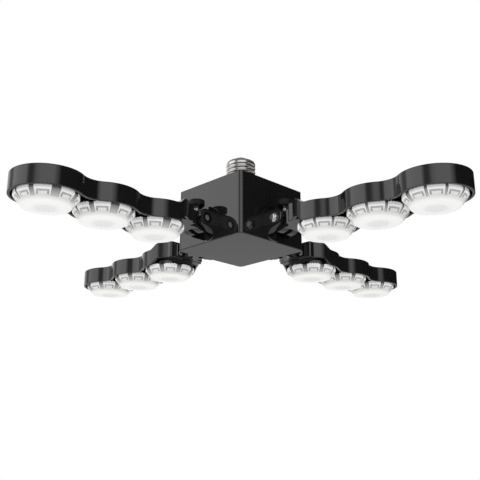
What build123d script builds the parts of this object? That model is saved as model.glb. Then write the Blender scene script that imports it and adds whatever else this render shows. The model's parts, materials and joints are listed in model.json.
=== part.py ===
from build123d import *
import os
from math import cos, radians, sin, sqrt

# Foldable LED grow light bulb: a square driver housing under a screw base, with four folding arms
# that each carry three round lens modules. All sizes are in millimetres.
# The origin is on the base's axis, halfway up the plain skirt of the screw shell, and +Z points up
# into the socket. Every arm piece is made for the arm along +X and turned about Z for the others.

ARM_COUNT = 4
ARM_TURN = 360 / ARM_COUNT

# Screw base
SHELL_CREST_R = 13.15
SHELL_ROOT_R = 12.3
SHELL_SHEET = 0.5
SKIRT_HEIGHT = 5.6
THREAD_PITCH = 3.629
THREAD_TURNS = 4
SHOULDER_HEIGHT = 3.4
SHOULDER_R = 10.8
INSULATOR_HEIGHT = 2.4
INSULATOR_TOP_R = 6.5
CONTACT_R = 4.8
CONTACT_HEIGHT = 1.8
CONTACT_HOLE_R = 1.2
BASE_CLEARANCE = 0.05

# Housing
BODY_WIDTH = 77.0
BODY_HEIGHT = 53.5
BODY_CORNER_R = 4.0
BODY_EDGE_R = 0.8
BODY_WALL = 2.2
COVER_THICKNESS = 3.0
COVER_CLEARANCE = 0.15
NECK_HEIGHT = 5.0
NECK_R = 15.5
NECK_FILLET = 2.0
SPIGOT_HEIGHT = 14.0
SPIGOT_WALL = 2.8
BOSS_R = 4.0
BOSS_INSET = 6.0

# Driver
BOARD_GAP = 6.3
BOARD_THICKNESS = 1.6
BOARD_SCREW_INSET = 5.0
STANDOFF_HEIGHT = 8.0
STANDOFF_R = 3.2
TRANSFORMER_EDGE_GAP = 3.0
TRANSFORMER_SCREW_GAP = 0.2
TRANSFORMER_LEAD_GAP = 0.6
TRANSFORMER_SHARE = 0.434
TRANSFORMER_HEIGHT = 19.0
BOBBIN_OVERHANG = 2.5
BOBBIN_INSET = 4.0
# Capacitors: place as two shares of the board's width, then radius and height
CAPACITORS = ((-0.25, 0.23, 8.0, 25.0), (-0.265, -0.06, 6.3, 18.0), (-0.265, -0.285, 5.0, 12.0))

# Screws: shank radius, shank length, head radius, head height
SMALL_SCREW = (1.25, 3.4, 2.3, 1.4)
PLATE_SCREW = (1.25, 5.6, 2.3, 1.4)
COVER_SCREW = (1.5, 12.0, 2.8, 1.7)
BRACKET_SCREW = (1.25, 9.4, 2.3, 1.6)
PILOT_CLEARANCE = 0.05
HOLE_CLEARANCE = 0.3
RECESS_SHARE = 0.45

# Arm
ROOT_TO_MODULE = 24.3
MODULE_PITCH = 47.8
MODULE_COUNT = 3
LOBE_R = 26.7
WAIST_R = 15.9
BAND_HEIGHT = 14.6
BAND_WALL = 2.0
DECK_THICKNESS = 2.0
HINGE_TO_ROOT = 18.8
ROOT_HALF_WIDTH = 19.0
ROOT_RISE = 5.8
ROOT_FLOOR = 1.6
ROOT_STEP_START = 11.7
ROOT_STEP_LENGTH = 12.0
ROOT_CORNER_R = 2.5
EDGE_R = 0.5

# Lens module
COLLAR_R = 21.4
COLLAR_WALL = 1.4
CROWN_R = 22.8
CROWN_INNER_R = 21.5
CROWN_TOP = 0.6
CROWN_FOOT = -0.9
DOME_R = 17.5
DOME_EDGE = -7.5
DOME_DEPTH = 3.0
LENS_WALL = 1.1
LENS_SKIRT_TOP = 6.0
LENS_CLEARANCE = 0.1
TAB_COUNT = 10
TAB_GAP = 2.8
GAP_DEPTH = 5.6
GAP_PHASE = -3.5
WINDOW_WIDTH = 6.4
WINDOW_TOP = -2.9
WINDOW_HEIGHT = 2.0
NOTCH_WIDTH = 1.6
NOTCH_DEPTH = 0.7

# LED board and chips
LED_BOARD_R = 18.4
LED_BRIDGE_WIDTH = 12.0
LED_BOARD_SCREW_Y = 15.0
CHIP_SIZE = (2.8, 2.8, 0.7)
CHIP_RINGS = ((11.0, 10), (4.6, 5))
SLOT_CLEARANCE = 0.4

# Hinge
HINGE_OUT = 13.0
HINGE_UP = 15.0
EAR_R = 7.8
EAR_THICKNESS = 4.2
EAR_FOOT_LENGTH = 5.0
EAR_FOOT_TOP = 7.0
EAR_FOOT_BOTTOM = -12.5
FLANGE_R = 14.9
FLANGE_RIM = 0.5
FLANGE_THICKNESS = 2.0
KNUCKLE_R = 10.8
KNUCKLE_TOP = 5.5
KNUCKLE_WIDTH = 17.0
NECK_TOP = 2.6
NECK_BOTTOM = -8.8
PLATE_THICKNESS = 4.0
PLATE_WIDTH = 30.0
PLATE_SCREW_Y = 11.4
PLATE_SCREW_DROP = 3.1
WASHER_THICKNESS = 0.8
WASHER_R = 6.0
RUNNING_CLEARANCE = 0.05
PIVOT_R = 2.5
PIVOT_HEAD_R = 4.0
PIVOT_HEAD_HEIGHT = 2.6
NUT_FLATS = 8.0
NUT_HEIGHT = 3.0
BRACKET_SCREW_Z = 4.5

# Lock screw: it stands on the knuckle and presses on the pivot bolt
LOCK_SHANK_R = 2.2
LOCK_COLLAR_R = 4.8
LOCK_KNOB_R = 6.6
LOCK_COLLAR_Z = 11.6
LOCK_KNOB_Z = 13.3
LOCK_TOP_Z = 17.8
LOCK_EDGE_R = 0.8

# Leads
LEAD_R = 0.9
LEAD_SPACING = 1.0
LEAD_HOLE_R = 2.4
LEAD_BEND_R = 3.0
LEAD_GROOVE_WIDTH = 5.0
LEAD_GROOVE_R = 6.5
FEED_RISE = 5.0
FEED_INSET = 5.0
BASE_LEAD_END = (6.0, 8.0)

# Places worked out from the sizes above
SKIRT_BOTTOM = -SKIRT_HEIGHT / 2
SKIRT_TOP = SKIRT_HEIGHT / 2
THREAD_TOP = SKIRT_TOP + THREAD_TURNS * THREAD_PITCH
SHELL_TOP = THREAD_TOP + SHOULDER_HEIGHT
BODY_TOP = SKIRT_BOTTOM - NECK_HEIGHT
BODY_BOTTOM = BODY_TOP - BODY_HEIGHT
BODY_INNER = BODY_WIDTH - 2 * BODY_WALL
FACE_X = BODY_WIDTH / 2
COVER_BOTTOM = BODY_TOP - COVER_THICKNESS
FLOOR_TOP = BODY_BOTTOM + BODY_WALL
BOARD_BOTTOM = FLOOR_TOP + STANDOFF_HEIGHT
BOARD_TOP = BOARD_BOTTOM + BOARD_THICKNESS
BOSS_SPACING = BODY_WIDTH - 2 * BOSS_INSET
BOARD_WIDTH = BODY_INNER - 2 * BOARD_GAP
STANDOFF_SPACING = BOARD_WIDTH - 2 * BOARD_SCREW_INSET
FEED_BOARD_X = BOARD_WIDTH / 2 - FEED_INSET
SPIGOT_R = SHELL_CREST_R - SHELL_SHEET - BASE_CLEARANCE
SPIGOT_TOP_R = SHELL_ROOT_R - SHELL_SHEET - BASE_CLEARANCE
SPIGOT_BORE_R = SPIGOT_TOP_R - SPIGOT_WALL
SPIGOT_TOP = SKIRT_BOTTOM + SPIGOT_HEIGHT
BAND_BOTTOM = BODY_BOTTOM
BAND_TOP = BAND_BOTTOM + BAND_HEIGHT
DECK_UNDER = BAND_TOP - DECK_THICKNESS
LED_BOARD_BOTTOM = DECK_UNDER - BOARD_THICKNESS
HINGE_X = FACE_X + HINGE_OUT
HINGE_Z = BODY_BOTTOM + HINGE_UP
EAR_INNER_Y = KNUCKLE_WIDTH / 2 + WASHER_THICKNESS + RUNNING_CLEARANCE
EAR_OUTER_Y = EAR_INNER_Y + EAR_THICKNESS
EAR_MIDDLE_Y = (EAR_INNER_Y + EAR_OUTER_Y) / 2
ROOT_X = HINGE_X + HINGE_TO_ROOT
MODULES = [ROOT_X + ROOT_TO_MODULE + MODULE_PITCH * i for i in range(MODULE_COUNT)]
TIP_X = MODULES[-1] + LOBE_R
ROOT_STEP_INNER_X = ROOT_X + ROOT_STEP_START
ROOT_STEP_OUTER_X = ROOT_STEP_INNER_X + ROOT_STEP_LENGTH
PLATE_X = ROOT_X - PLATE_THICKNESS
PLATE_SCREW_Z = DECK_UNDER - PLATE_SCREW_DROP
LEAD_Z = LED_BOARD_BOTTOM - LEAD_R


def screw(size):
    """A screw standing along Z, with its head above z = 0 and a cross recess in the head."""
    shank_r, shank_length, head_r, head_height = size
    with BuildPart() as piece:
        with BuildSketch():
            Circle(head_r)
        extrude(amount=head_height)
        fillet(piece.edges().sort_by(Axis.Z)[-1], head_height * RECESS_SHARE)
        with BuildSketch():
            Circle(shank_r)
        extrude(amount=-shank_length)
        with BuildSketch(Plane.XY.offset(head_height)):
            Rectangle(head_r, head_r * RECESS_SHARE / 2)
            Rectangle(head_r * RECESS_SHARE / 2, head_r)
        extrude(amount=-head_height * RECESS_SHARE, mode=Mode.SUBTRACT)
    return piece.part


def countersunk_screw(size):
    """A screw along Z whose conical head ends flush with z = 0."""
    shank_r, shank_length, head_r, head_height = size
    with BuildPart() as piece:
        with BuildSketch(Plane.XZ):
            with BuildLine():
                Polyline(
                    (0, 0),
                    (head_r, 0),
                    (shank_r, -head_height),
                    (shank_r, -shank_length),
                    (0, -shank_length),
                    close=True,
                )
            make_face()
        revolve(axis=Axis.Z)
        with BuildSketch():
            Rectangle(head_r, head_r * RECESS_SHARE / 2)
            Rectangle(head_r * RECESS_SHARE / 2, head_r)
        extrude(amount=-head_height * RECESS_SHARE, mode=Mode.SUBTRACT)
    return piece.part


def thread_profile(inset):
    """Points of the shell's rounded thread, from the top of the skirt up to the shoulder."""
    points = []
    steps_per_turn = 8
    for step in range(THREAD_TURNS * steps_per_turn + 1):
        turn = step / steps_per_turn
        middle = (SHELL_CREST_R + SHELL_ROOT_R) / 2
        swing = (SHELL_CREST_R - SHELL_ROOT_R) / 2
        radius = middle + swing * cos(radians(360 * turn))
        points.append((radius - inset, SKIRT_TOP + turn * THREAD_PITCH))
    return points


def make_screw_shell():
    with BuildPart() as screw_shell:
        with BuildSketch(Plane.XZ):
            with BuildLine():
                outer = thread_profile(0)
                inner = thread_profile(SHELL_SHEET)
                Line((SHELL_CREST_R, SKIRT_BOTTOM), outer[0])
                Spline(outer, tangents=((0, 1), (0, 1)))
                Bezier(outer[-1], (SHELL_CREST_R, SHELL_TOP), (SHOULDER_R, SHELL_TOP))
                Line((SHOULDER_R, SHELL_TOP), (SHOULDER_R, SHELL_TOP - SHELL_SHEET))
                Bezier(
                    (SHOULDER_R, SHELL_TOP - SHELL_SHEET),
                    (SHELL_CREST_R - SHELL_SHEET, SHELL_TOP - SHELL_SHEET),
                    inner[-1],
                )
                Spline(inner, tangents=((0, 1), (0, 1)))
                Line(inner[0], (SHELL_CREST_R - SHELL_SHEET, SKIRT_BOTTOM))
                Line((SHELL_CREST_R - SHELL_SHEET, SKIRT_BOTTOM), (SHELL_CREST_R, SKIRT_BOTTOM))
            make_face()
        revolve(axis=Axis.Z)
    return screw_shell.part


def make_base_insulator():
    seat_z = SHELL_TOP - SHELL_SHEET - INSULATOR_HEIGHT / 2
    rim_r = SHOULDER_R - BASE_CLEARANCE
    with BuildPart() as base_insulator:
        with BuildSketch(Plane.XZ):
            with BuildLine():
                Polyline(
                    (CONTACT_HOLE_R, seat_z),
                    (rim_r, seat_z),
                    (rim_r, SHELL_TOP),
                    (INSULATOR_TOP_R, SHELL_TOP + INSULATOR_HEIGHT),
                    (CONTACT_HOLE_R, SHELL_TOP + INSULATOR_HEIGHT),
                    close=True,
                )
            make_face()
        revolve(axis=Axis.Z)
    return base_insulator.part


def make_centre_contact():
    seat_z = SHELL_TOP + INSULATOR_HEIGHT
    with BuildPart() as centre_contact:
        with BuildSketch(Plane.XZ):
            with BuildLine():
                Line((0, seat_z), (CONTACT_R, seat_z))
                Line((CONTACT_R, seat_z), (CONTACT_R, seat_z + CONTACT_HEIGHT / 3))
                Bezier(
                    (CONTACT_R, seat_z + CONTACT_HEIGHT / 3),
                    (CONTACT_R * 0.8, seat_z + CONTACT_HEIGHT),
                    (0, seat_z + CONTACT_HEIGHT),
                )
                Line((0, seat_z + CONTACT_HEIGHT), (0, seat_z))
            make_face()
        revolve(axis=Axis.Z)
    return centre_contact.part


def make_housing_shell():
    """A square cup, closed below, with corner bosses for the cover and posts for the driver."""
    with BuildPart() as housing_shell:
        with BuildSketch(Plane.XY.offset(BODY_BOTTOM)):
            RectangleRounded(BODY_WIDTH, BODY_WIDTH, BODY_CORNER_R)
        extrude(amount=BODY_HEIGHT)
        fillet(housing_shell.faces().sort_by(Axis.Z)[0].edges(), BODY_EDGE_R)
        with BuildSketch(Plane.XY.offset(FLOOR_TOP)):
            RectangleRounded(BODY_INNER, BODY_INNER, BODY_CORNER_R - BODY_WALL)
        extrude(amount=BODY_HEIGHT, mode=Mode.SUBTRACT)
        with BuildSketch(Plane.XY.offset(FLOOR_TOP)):
            with GridLocations(BOSS_SPACING, BOSS_SPACING, 2, 2):
                Circle(BOSS_R)
        extrude(amount=COVER_BOTTOM - FLOOR_TOP)
        with BuildSketch(Plane.XY.offset(FLOOR_TOP)):
            with GridLocations(STANDOFF_SPACING, STANDOFF_SPACING, 2, 2):
                Circle(STANDOFF_R)
        extrude(amount=STANDOFF_HEIGHT)
        with BuildSketch(Plane.XY.offset(COVER_BOTTOM)):
            with GridLocations(BOSS_SPACING, BOSS_SPACING, 2, 2):
                Circle(COVER_SCREW[0] + PILOT_CLEARANCE)
        extrude(amount=-COVER_SCREW[1], mode=Mode.SUBTRACT)
        with BuildSketch(Plane.XY.offset(BOARD_BOTTOM)):
            with GridLocations(STANDOFF_SPACING, STANDOFF_SPACING, 2, 2):
                Circle(SMALL_SCREW[0] + PILOT_CLEARANCE)
        extrude(amount=-SMALL_SCREW[1], mode=Mode.SUBTRACT)
        for index in range(ARM_COUNT):
            with BuildSketch(side_plane(index, FACE_X)):
                with Locations((0, HINGE_Z)):
                    with GridLocations(2 * EAR_MIDDLE_Y, 2 * BRACKET_SCREW_Z, 2, 2):
                        Circle(BRACKET_SCREW[0] + HOLE_CLEARANCE)
                with Locations((0, HINGE_Z + FEED_RISE)):
                    Circle(LEAD_HOLE_R)
            extrude(amount=-BODY_WALL, mode=Mode.SUBTRACT)
    return housing_shell.part


def side_plane(index, distance):
    """The plane across an arm's axis at this distance: its x is sideways and its y is up."""
    turn = radians(ARM_TURN * index)
    out = Vector(cos(turn), sin(turn), 0)
    return Plane(origin=out * distance, x_dir=Vector(-sin(turn), cos(turn), 0), z_dir=out)


def make_top_cover():
    """The inset lid with the neck and the hollow spigot that carries the screw shell."""
    lid_width = BODY_INNER - 2 * COVER_CLEARANCE
    with BuildPart() as top_cover:
        with BuildSketch(Plane.XY.offset(COVER_BOTTOM)):
            RectangleRounded(lid_width, lid_width, BODY_CORNER_R - BODY_WALL)
        extrude(amount=COVER_THICKNESS)
        with BuildSketch(Plane.XY.offset(BODY_TOP)):
            Circle(NECK_R)
        extrude(amount=NECK_HEIGHT)
        ring = top_cover.edges().filter_by(GeomType.CIRCLE).group_by(Axis.Z)[-2]
        fillet(ring.sort_by(SortBy.RADIUS)[-1], NECK_FILLET)
        with BuildSketch(Plane.XY.offset(SKIRT_BOTTOM)):
            Circle(SPIGOT_R)
        extrude(amount=SKIRT_HEIGHT)
        with BuildSketch(Plane.XY.offset(SKIRT_BOTTOM)):
            Circle(SPIGOT_TOP_R)
        extrude(amount=SPIGOT_HEIGHT)
        with BuildSketch(Plane.XY.offset(SPIGOT_TOP)):
            Circle(SPIGOT_BORE_R)
        extrude(amount=COVER_BOTTOM - SPIGOT_TOP, mode=Mode.SUBTRACT)
        shank_r, _, head_r, head_height = COVER_SCREW
        with Locations((0, 0, BODY_TOP - head_height / 2)):
            with GridLocations(BOSS_SPACING, BOSS_SPACING, 2, 2):
                sink_r = head_r + PILOT_CLEARANCE
                Cone(shank_r + PILOT_CLEARANCE, sink_r, head_height, mode=Mode.SUBTRACT)
        with BuildSketch(Plane.XY.offset(BODY_TOP)):
            with GridLocations(BOSS_SPACING, BOSS_SPACING, 2, 2):
                Circle(shank_r + PILOT_CLEARANCE)
        extrude(amount=-COVER_THICKNESS, mode=Mode.SUBTRACT)
    return top_cover.part


def make_cover_screws():
    one_screw = countersunk_screw(COVER_SCREW)
    with BuildPart() as cover_screws:
        with Locations((0, 0, BODY_TOP)):
            with GridLocations(BOSS_SPACING, BOSS_SPACING, 2, 2):
                add(one_screw)
    return cover_screws.part


def make_driver_board():
    with BuildPart() as driver_board:
        with BuildSketch(Plane.XY.offset(BOARD_BOTTOM)):
            RectangleRounded(BOARD_WIDTH, BOARD_WIDTH, BOARD_SCREW_INSET / 2)
            with GridLocations(STANDOFF_SPACING, STANDOFF_SPACING, 2, 2):
                Circle(SMALL_SCREW[0] + PILOT_CLEARANCE, mode=Mode.SUBTRACT)
        extrude(amount=BOARD_THICKNESS)
    return driver_board.part


def make_driver_screws():
    one_screw = screw(SMALL_SCREW)
    with BuildPart() as driver_screws:
        with Locations((0, 0, BOARD_TOP)):
            with GridLocations(STANDOFF_SPACING, STANDOFF_SPACING, 2, 2):
                add(one_screw)
    return driver_screws.part


def make_driver_transformer():
    """A ferrite core with its wound bobbin standing out on two sides."""
    length = BOARD_WIDTH * TRANSFORMER_SHARE
    far_x = BOARD_WIDTH / 2 - TRANSFORMER_EDGE_GAP
    near_y = LEAD_SPACING + LEAD_R + TRANSFORMER_LEAD_GAP
    far_y = STANDOFF_SPACING / 2 - SMALL_SCREW[2] - TRANSFORMER_SCREW_GAP
    width = far_y - near_y
    middle = (far_x - length / 2, (near_y + far_y) / 2)
    height = TRANSFORMER_HEIGHT
    with BuildPart() as driver_transformer:
        with BuildSketch(Plane.XY.offset(BOARD_TOP)):
            with Locations(middle):
                Rectangle(length, width)
        extrude(amount=height)
        chamfer(driver_transformer.edges().filter_by(Axis.Z), 1)
        with BuildSketch(Plane.XY.offset(BOARD_TOP)):
            with Locations(middle):
                bobbin_width = width + 2 * BOBBIN_OVERHANG
                RectangleRounded(length - 2 * BOBBIN_INSET, bobbin_width, BOBBIN_OVERHANG)
        extrude(amount=height - BOBBIN_OVERHANG)
    return driver_transformer.part


def make_driver_capacitors():
    with BuildPart() as driver_capacitors:
        for x_share, y_share, radius, height in CAPACITORS:
            with BuildSketch(Plane.XY.offset(BOARD_TOP)):
                with Locations((BOARD_WIDTH * x_share, BOARD_WIDTH * y_share)):
                    Circle(radius)
            extrude(amount=height)
        fillet(driver_capacitors.faces().filter_by(Axis.Z).edges(), 0.6)
    return driver_capacitors.part


def lead(points, radius=LEAD_R, bend=LEAD_BEND_R):
    """A round lead along straight runs joined by arcs, starting square to its first run."""
    with BuildPart() as piece:
        with BuildLine() as route:
            if len(points) > 2:
                FilletPolyline(*points, radius=bend)
            else:
                Line(*points)
        start = Vector(*points[0])
        with BuildSketch(Plane(origin=start, z_dir=Vector(*points[1]) - start)):
            Circle(radius)
        sweep()
    return piece.part


def make_base_leads():
    """One lead from the centre contact and one from the shell, both down to the driver board."""
    contact_end = SHELL_TOP + INSULATOR_HEIGHT
    shell_end = SPIGOT_TOP + 2 * LEAD_R
    side_x = -(SPIGOT_BORE_R - LEAD_R)
    shell_inner_r = SHELL_ROOT_R - SHELL_SHEET
    knee_z = COVER_BOTTOM - 8
    end_y = -BASE_LEAD_END[1]
    end_z = knee_z - BASE_LEAD_END[1]
    contact_lead = lead(
        [
            (0, 0, contact_end),
            (0, 0, knee_z),
            (0, end_y, end_z),
            (0, end_y, BOARD_TOP),
        ]
    )
    shell_lead = lead(
        [
            (-shell_inner_r, 0, shell_end),
            (side_x, 0, shell_end),
            (side_x, 0, knee_z),
            (-BASE_LEAD_END[0], end_y, end_z),
            (-BASE_LEAD_END[0], end_y, BOARD_TOP),
        ],
        bend=LEAD_R * 2,
    )
    with BuildPart() as base_leads:
        add(contact_lead)
        add(shell_lead)
    return base_leads.part


def make_feed_leads():
    """A pair of leads from the driver board out through each side wall into the bracket."""
    one_lead = lead(
        [
            (FEED_BOARD_X, 0, BOARD_TOP),
            (FEED_BOARD_X, 0, HINGE_Z + FEED_RISE),
            (FACE_X + FLANGE_THICKNESS, 0, HINGE_Z + FEED_RISE),
        ]
    )
    with BuildPart() as feed_leads:
        with PolarLocations(0, ARM_COUNT):
            with GridLocations(0, 2 * LEAD_SPACING, 1, 2):
                add(one_lead)
    return feed_leads.part


def make_hinge_bracket():
    """The fixed half of one hinge: a round boss on the face, forked into two ears for the bolt."""
    foot_height = EAR_FOOT_TOP - EAR_FOOT_BOTTOM
    with BuildPart() as hinge_bracket:
        for side in (-1, 1):
            with BuildSketch(Plane.XZ.offset(-side * EAR_MIDDLE_Y)):
                with Locations((HINGE_X, HINGE_Z)):
                    Circle(EAR_R)
                with Locations((FACE_X, HINGE_Z + EAR_FOOT_BOTTOM)):
                    Rectangle(EAR_FOOT_LENGTH, foot_height, align=(Align.MIN, Align.MIN))
                make_hull()
            extrude(amount=EAR_THICKNESS / 2, both=True)
        with BuildSketch(Plane.YZ.offset(FACE_X)):
            with Locations((0, HINGE_Z)):
                Circle(FLANGE_R - FLANGE_RIM)
        extrude(amount=HINGE_OUT + EAR_R + EDGE_R, mode=Mode.INTERSECT)
        with BuildSketch(Plane.YZ.offset(FACE_X)):
            with Locations((0, HINGE_Z)):
                Circle(FLANGE_R)
        extrude(amount=FLANGE_THICKNESS)
        with BuildSketch(Plane.XZ):
            with Locations((HINGE_X, HINGE_Z)):
                Circle(PIVOT_R + RUNNING_CLEARANCE)
        extrude(amount=EAR_OUTER_Y, both=True, mode=Mode.SUBTRACT)
        with BuildSketch(Plane.XZ.offset(-EAR_OUTER_Y)):
            with Locations((HINGE_X, HINGE_Z)):
                RegularPolygon(NUT_FLATS / 2 + HOLE_CLEARANCE, 6, major_radius=False)
        extrude(amount=NUT_HEIGHT, mode=Mode.SUBTRACT)
        with BuildSketch(Plane.YZ.offset(FACE_X)):
            with Locations((0, HINGE_Z)):
                with GridLocations(2 * EAR_MIDDLE_Y, 2 * BRACKET_SCREW_Z, 2, 2):
                    Circle(BRACKET_SCREW[0] + PILOT_CLEARANCE)
        extrude(amount=BRACKET_SCREW[1] - BODY_WALL, mode=Mode.SUBTRACT)
        with BuildSketch(Plane.YZ.offset(FACE_X)):
            with Locations((0, HINGE_Z + FEED_RISE)):
                Circle(LEAD_HOLE_R)
        extrude(amount=FLANGE_THICKNESS, mode=Mode.SUBTRACT)
    return hinge_bracket.part


def make_bracket_screws():
    """Four screws per bracket, driven from inside the housing into the ears."""
    wall_inner = Plane(origin=(BODY_INNER / 2, 0, HINGE_Z), x_dir=(0, 1, 0), z_dir=(-1, 0, 0))
    one_screw = screw(BRACKET_SCREW)
    with BuildPart() as one_side:
        with Locations(wall_inner):
            with GridLocations(2 * EAR_MIDDLE_Y, 2 * BRACKET_SCREW_Z, 2, 2):
                add(one_screw)
    with BuildPart() as bracket_screws:
        with PolarLocations(0, ARM_COUNT):
            add(one_side.part)
    return bracket_screws.part


def domed_pin(shank_r, head_r, head_height, shank_from, shank_to, head_at, x, z):
    """A pin along Y through (x, z), with a domed head on its low-Y side."""
    with BuildPart() as pin:
        with BuildSketch(Plane.XZ.offset(-shank_to)):
            with Locations((x, z)):
                Circle(shank_r)
        extrude(amount=shank_to - shank_from)
        with BuildSketch(Plane.XZ.offset(-head_at)):
            with Locations((x, z)):
                Circle(head_r)
        extrude(amount=head_height)
        fillet(pin.edges().sort_by(Axis.Y)[0], head_height * 0.9)
    return pin.part


def make_pivot_bolts():
    """One bolt per hinge, with its domed head on one ear and its end in the nut of the other."""
    bolt = domed_pin(
        PIVOT_R,
        PIVOT_HEAD_R,
        PIVOT_HEAD_HEIGHT,
        -EAR_OUTER_Y,
        EAR_OUTER_Y - EDGE_R,
        -EAR_OUTER_Y,
        HINGE_X,
        HINGE_Z,
    )
    with BuildPart() as pivot_bolts:
        with PolarLocations(0, ARM_COUNT):
            add(bolt)
    return pivot_bolts.part


def make_pivot_nuts():
    with BuildPart() as one_nut:
        with BuildSketch(Plane.XZ.offset(-EAR_OUTER_Y)):
            with Locations((HINGE_X, HINGE_Z)):
                RegularPolygon(NUT_FLATS / 2, 6, major_radius=False)
                Circle(PIVOT_R + RUNNING_CLEARANCE, mode=Mode.SUBTRACT)
        extrude(amount=NUT_HEIGHT)
    with BuildPart() as pivot_nuts:
        with PolarLocations(0, ARM_COUNT):
            add(one_nut.part)
    return pivot_nuts.part


def make_hinge_washers():
    """The friction washers between each knuckle and its two ears."""
    with BuildPart() as one_pair:
        for side in (-1, 1):
            middle_y = side * (EAR_INNER_Y - WASHER_THICKNESS / 2)
            with BuildSketch(Plane.XZ.offset(-middle_y)):
                with Locations((HINGE_X, HINGE_Z)):
                    Circle(WASHER_R)
                    Circle(PIVOT_R + RUNNING_CLEARANCE, mode=Mode.SUBTRACT)
            extrude(amount=WASHER_THICKNESS / 2, both=True)
    with BuildPart() as hinge_washers:
        with PolarLocations(0, ARM_COUNT):
            add(one_pair.part)
    return hinge_washers.part


def make_arm_knuckle():
    """The moving half of one hinge: a barrel with a flat top, a neck and a bolted end plate."""
    plate_height = NECK_TOP - NECK_BOTTOM
    with BuildPart() as arm_knuckle:
        with BuildSketch(Plane.XZ):
            with Locations((HINGE_X, HINGE_Z)):
                Circle(KNUCKLE_R)
            with Locations((HINGE_X, HINGE_Z + NECK_BOTTOM)):
                Rectangle(ROOT_X - HINGE_X, plate_height, align=(Align.MIN, Align.MIN))
            with Locations((HINGE_X, HINGE_Z + KNUCKLE_TOP)):
                above = (Align.CENTER, Align.MIN)
                Rectangle(2 * KNUCKLE_R, KNUCKLE_R, align=above, mode=Mode.SUBTRACT)
        extrude(amount=KNUCKLE_WIDTH / 2, both=True)
        with BuildSketch(Plane.YZ.offset(PLATE_X)):
            with Locations((0, HINGE_Z + NECK_BOTTOM)):
                Rectangle(PLATE_WIDTH, plate_height, align=(Align.CENTER, Align.MIN))
        extrude(amount=PLATE_THICKNESS)
        with BuildSketch(Plane.XZ):
            with Locations((HINGE_X, HINGE_Z)):
                Circle(PIVOT_R + RUNNING_CLEARANCE)
        extrude(amount=KNUCKLE_WIDTH, both=True, mode=Mode.SUBTRACT)
        with BuildSketch(Plane.XZ):
            with Locations((HINGE_X, HINGE_Z)):
                Circle(KNUCKLE_R + EDGE_R)
                Circle(LEAD_GROOVE_R, mode=Mode.SUBTRACT)
            with Locations((HINGE_X, LEAD_Z + LEAD_R + HOLE_CLEARANCE)):
                Rectangle(ROOT_X, ROOT_X, align=(Align.MIN, Align.MIN), mode=Mode.SUBTRACT)
        extrude(amount=LEAD_GROOVE_WIDTH / 2, both=True, mode=Mode.SUBTRACT)
        with BuildSketch(Plane.YZ.offset(HINGE_X + LEAD_GROOVE_R)):
            with Locations((0, LEAD_Z)):
                SlotCenterToCenter(2 * LEAD_SPACING, 2 * (LEAD_R + HOLE_CLEARANCE))
        extrude(amount=ROOT_X - HINGE_X, mode=Mode.SUBTRACT)
        with BuildSketch(Plane.YZ.offset(PLATE_X)):
            with Locations((-PLATE_SCREW_Y, PLATE_SCREW_Z), (PLATE_SCREW_Y, PLATE_SCREW_Z)):
                Circle(PLATE_SCREW[0] + HOLE_CLEARANCE)
        extrude(amount=PLATE_THICKNESS, mode=Mode.SUBTRACT)
        with BuildSketch(Plane.XY.offset(HINGE_Z)):
            with Locations((HINGE_X, 0)):
                Circle(LOCK_SHANK_R + PILOT_CLEARANCE)
        extrude(amount=KNUCKLE_TOP, mode=Mode.SUBTRACT)
    return arm_knuckle.part


def make_lock_screw():
    """The screw that locks the fold: a shank down to the pivot bolt, a collar and a round knob."""
    with BuildPart() as lock_screw:
        with BuildSketch(Plane.XZ):
            with BuildLine():
                Polyline(
                    (0, PIVOT_R + RUNNING_CLEARANCE),
                    (LOCK_SHANK_R, PIVOT_R + RUNNING_CLEARANCE),
                    (LOCK_SHANK_R, LOCK_COLLAR_Z),
                    (LOCK_COLLAR_R, LOCK_COLLAR_Z),
                    (LOCK_KNOB_R, LOCK_KNOB_Z),
                    (LOCK_KNOB_R, LOCK_TOP_Z),
                    (0, LOCK_TOP_Z),
                    close=True,
                )
            make_face()
        revolve(axis=Axis.Z)
        fillet(lock_screw.edges().sort_by(Axis.Z)[-1], LOCK_EDGE_R)
    return lock_screw.part.moved(Location((HINGE_X, 0, HINGE_Z)))


def arm_outline(inset):
    """The arm from above, drawn into the open sketch: three lobes, hollow waists, a square root."""
    lobe_r = LOBE_R - inset
    waist_r = WAIST_R + inset
    waist_y = sqrt((LOBE_R + WAIST_R) ** 2 - (MODULE_PITCH / 2) ** 2)
    touch_share = lobe_r / (LOBE_R + WAIST_R)
    for x in MODULES:
        with Locations((x, 0)):
            Circle(lobe_r)
    for x in MODULES[:-1]:
        middle_x = x + MODULE_PITCH / 2
        with Locations((middle_x, 0)):
            Rectangle(MODULE_PITCH * (1 - touch_share), 2 * waist_y * touch_share)
        with Locations((middle_x, waist_y), (middle_x, -waist_y)):
            Circle(waist_r, mode=Mode.SUBTRACT)
    with Locations((ROOT_X + inset, 0)):
        root_length = ROOT_TO_MODULE - inset
        root_width = 2 * (ROOT_HALF_WIDTH - inset)
        Rectangle(root_length, root_width, align=(Align.MIN, Align.CENTER))


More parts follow.
